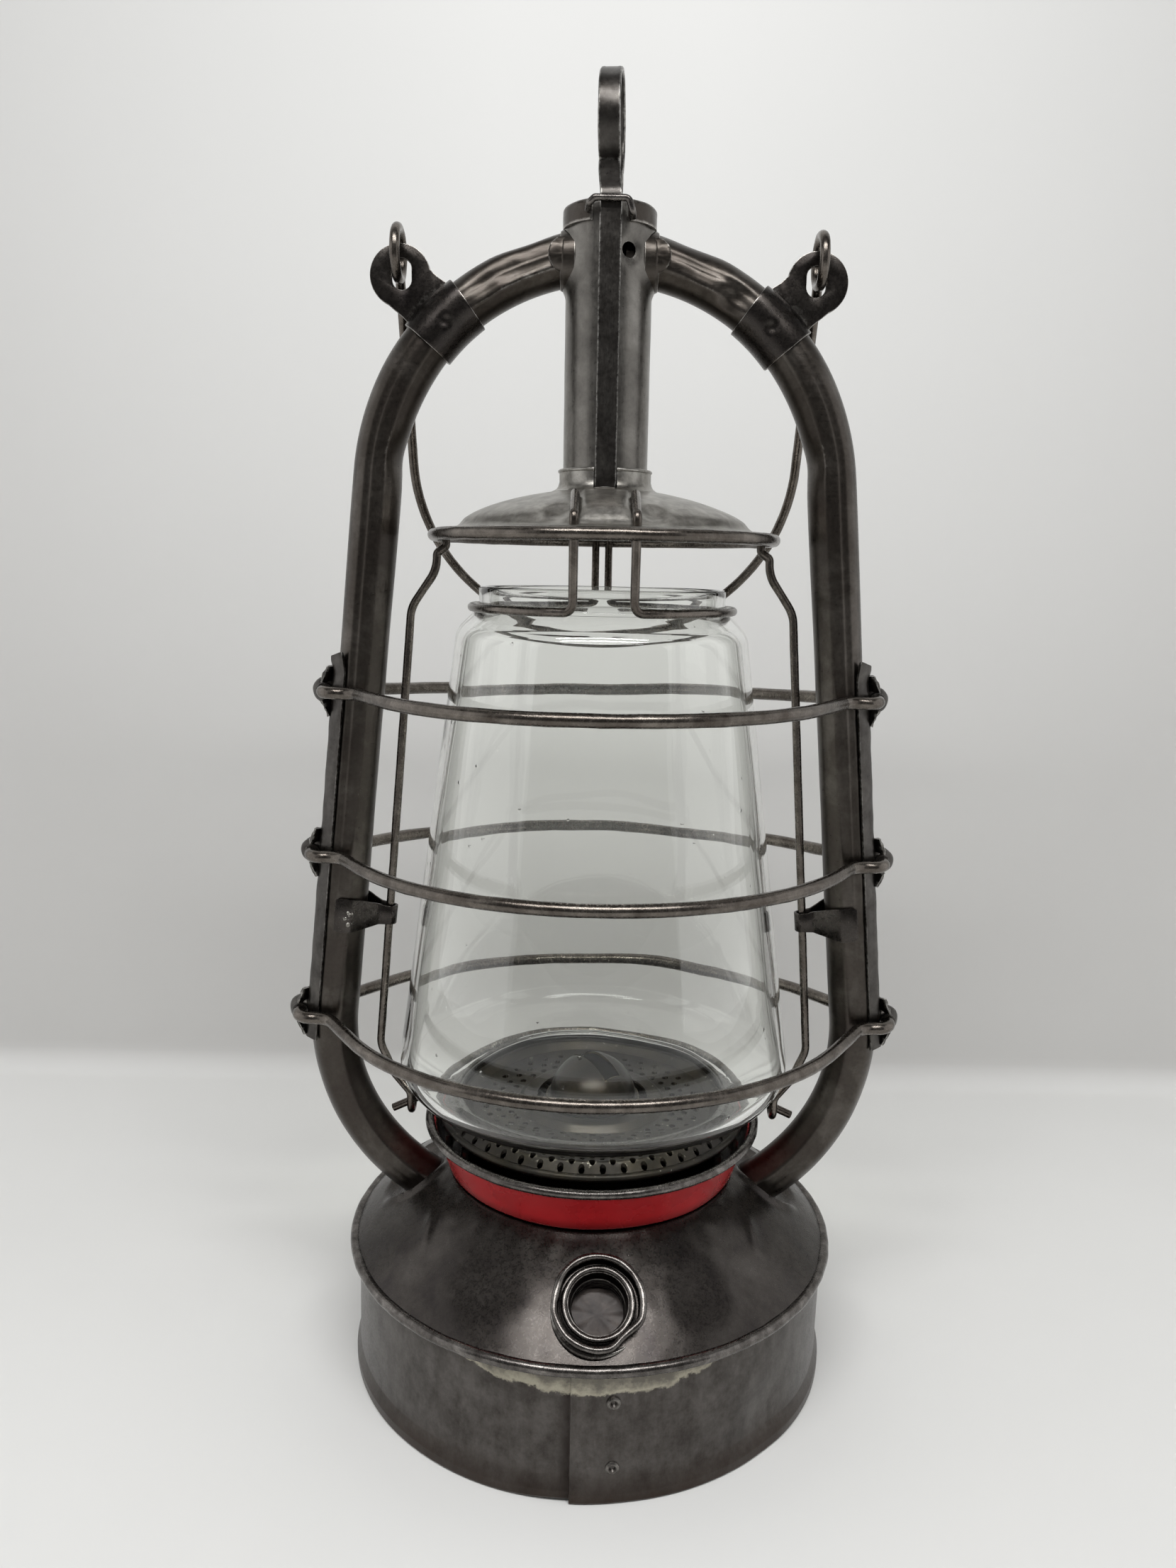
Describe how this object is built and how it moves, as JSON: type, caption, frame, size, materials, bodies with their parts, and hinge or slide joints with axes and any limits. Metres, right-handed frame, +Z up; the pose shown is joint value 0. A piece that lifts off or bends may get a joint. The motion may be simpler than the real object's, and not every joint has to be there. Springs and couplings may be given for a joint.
{
  "type": "hot blast lantern",
  "caption": "Hot blast oil lantern: round fount, clear flared globe in a wire guard, side air tubes, bell, chimney, lift ring and swing bail.",
  "frame": {"origin": "centre of the base on the table", "axes": "+Z up along the chimney, front with the filler towards -Y"},
  "size_m": [0.2004, 0.16, 0.3993],
  "materials": {
    "oiled_steel": "dark oiled patina, worn edges",
    "tinned_steel": "dull tin with scratches",
    "bright_steel": "worn bright, some tarnish",
    "steel_wire": "dark drawn wire, worn",
    "red_enamel": "glossy enamel",
    "aged_brass": "tarnished",
    "clear_glass": "clear pressed glass",
    "cotton_wick": "woven cotton",
    "seal_rubber": "matt"
  },
  "bodies": {
    "frame": {"fount_skirt": "oiled_steel", "skirt_rivets": "oiled_steel", "fount_bottom": "oiled_steel", "tank_top": "oiled_steel", "fount_dome": "oiled_steel", "filler_funnel": "oiled_steel", "air_chamber": "red_enamel", "plate_supports": "bright_steel", "burner_post": "aged_brass", "burner_body": "aged_brass", "wick_tube": "aged_brass", "burner_cone": "aged_brass", "left_side_tube": "oiled_steel", "right_side_tube": "oiled_steel", "left_tube_flange": "tinned_steel", "right_tube_flange": "tinned_steel", "chimney": "tinned_steel", "chimney_cap": "tinned_steel", "cap_bridges": "bright_steel", "left_bail_clip": "oiled_steel", "right_bail_clip": "oiled_steel", "left_guide_clip": "oiled_steel", "right_guide_clip": "oiled_steel", "left_guard_strip": "oiled_steel", "right_guard_strip": "oiled_steel", "low_front_hoop": "steel_wire", "low_rear_hoop": "steel_wire", "middle_front_hoop": "steel_wire", "middle_rear_hoop": "steel_wire", "top_front_hoop": "steel_wire", "top_rear_hoop": "steel_wire"},
    "carriage": {"lift_strip": "bright_steel", "bell": "tinned_steel", "left_neck_wire": "steel_wire", "right_neck_wire": "steel_wire", "left_side_rod": "steel_wire", "right_side_rod": "steel_wire", "cradle_wire": "steel_wire", "globe_plate": "bright_steel", "globe": "clear_glass"},
    "bail": {"bail": "steel_wire"},
    "wick_raiser": {"wick_shaft": "aged_brass", "wick_knob": "aged_brass"},
    "wick": {"wick": "cotton_wick"},
    "plug_seal": {"filler_gasket": "seal_rubber"},
    "plug": {"filler_plug": "oiled_steel"}
  },
  "joints": [
    {"name": "globe_lift", "type": "slide", "parent": "frame", "child": "carriage", "axis": [0, 0, 1], "range_m": [0, 0.035]},
    {"name": "bail_swing", "type": "hinge", "parent": "frame", "child": "bail", "pos_m": [0, 0, 0.3491], "axis": [1, 0, 0], "range_deg": [0, 310]},
    {"name": "wick_turn", "type": "hinge", "parent": "frame", "child": "wick_raiser", "pos_m": [0.00486, 0.00408, 0.0743], "axis": [-0.6428, 0.766, 0], "range_deg": [-60, 60]},
    {"name": "wick_rise", "type": "slide", "parent": "frame", "child": "wick", "axis": [0, 0, 1], "range_m": [-0.0055, 0.0055]},
    {"name": "plug_rise", "type": "slide", "parent": "frame", "child": "plug_seal", "axis": [0.0215, -0.6153, 0.788], "range_m": [0, 0.0101]},
    {"name": "plug_turn", "type": "hinge", "parent": "plug_seal", "child": "plug", "pos_m": [0.00229, -0.06546, 0.05279], "axis": [0.0215, -0.6153, 0.788], "range_deg": [0, 1800]}
  ],
  "couplings": [
    {"joint": "wick_rise", "follows": "wick_turn", "m_per_rad": 0.005},
    {"joint": "plug_rise", "follows": "plug_turn", "m_per_rad": 0.00031831}
  ]
}
